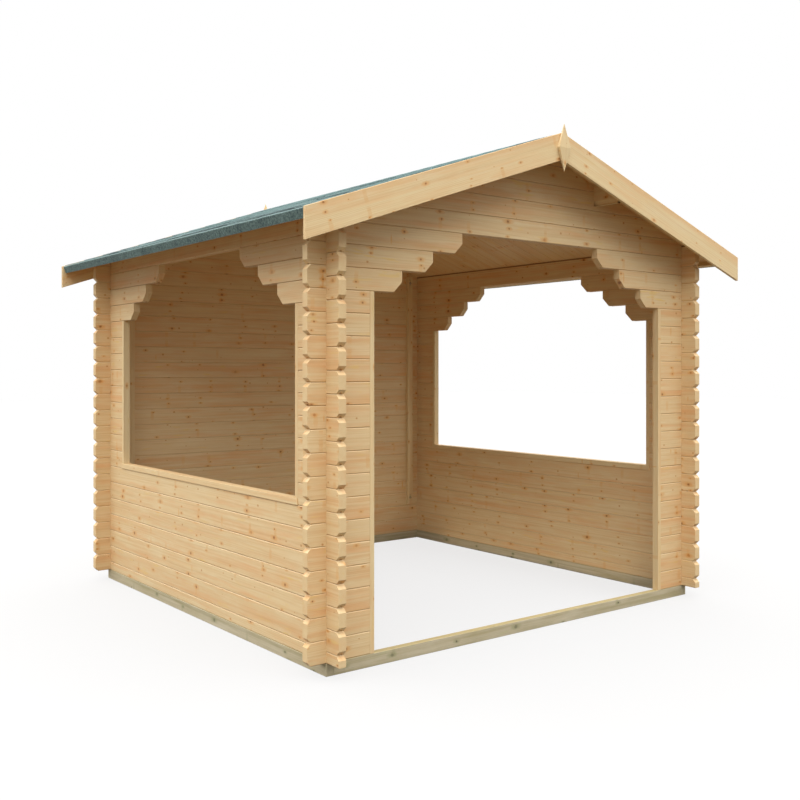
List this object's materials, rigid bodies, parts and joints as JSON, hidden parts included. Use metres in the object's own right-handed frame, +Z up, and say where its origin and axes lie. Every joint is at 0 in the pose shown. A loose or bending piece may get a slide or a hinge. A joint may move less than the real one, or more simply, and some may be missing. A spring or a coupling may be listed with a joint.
{
  "type": "garden gazebo",
  "caption": "Open-fronted log gazebo with interlocking corners, open side windows under stepped corbels, and a felt-shingled gable roof with barge boards and diamond finials.",
  "frame": {"origin": "centre of the footprint, on the ground under the base beams", "axes": "+Z up, -Y out of the doorway, +X to the right of someone looking in through the doorway"},
  "size_m": [3.3686, 3.3406, 2.8639],
  "materials": {
    "spruce": "planed, bare",
    "treated_wood": "pressure-treated, rough sawn",
    "felt": "mineral granules, matt"
  },
  "bodies": {
    "root": {"front_base_beam": "treated_wood", "back_base_beam": "treated_wood", "left_base_beam": "treated_wood", "right_base_beam": "treated_wood", "front_wall_left_logs": "spruce", "front_wall_right_logs": "spruce", "front_wall_left_corbels": "spruce", "front_wall_right_corbels": "spruce", "front_gable_logs": "spruce", "back_wall_logs": "spruce", "back_gable_logs": "spruce", "left_wall_lower_logs": "spruce", "left_wall_front_logs": "spruce", "left_wall_back_logs": "spruce", "left_wall_front_corbels": "spruce", "left_wall_back_corbels": "spruce", "left_eave_log": "spruce", "right_wall_lower_logs": "spruce", "right_wall_front_logs": "spruce", "right_wall_back_logs": "spruce", "right_wall_front_corbels": "spruce", "right_wall_back_corbels": "spruce", "right_eave_log": "spruce", "ridge_purlin": "spruce", "left_purlin": "spruce", "right_purlin": "spruce", "left_roof_boards": "spruce", "right_roof_boards": "spruce", "left_eave_batten": "spruce", "right_eave_batten": "spruce", "front_left_barge_board": "spruce", "front_right_barge_board": "spruce", "back_left_barge_board": "spruce", "back_right_barge_board": "spruce", "front_finial": "spruce", "back_finial": "spruce", "door_jambs": "spruce", "left_window_jambs": "spruce", "right_window_jambs": "spruce", "left_window_sill": "spruce", "right_window_sill": "spruce", "storm_braces": "spruce", "roof_shingles": "felt"}
  },
  "joints": []
}
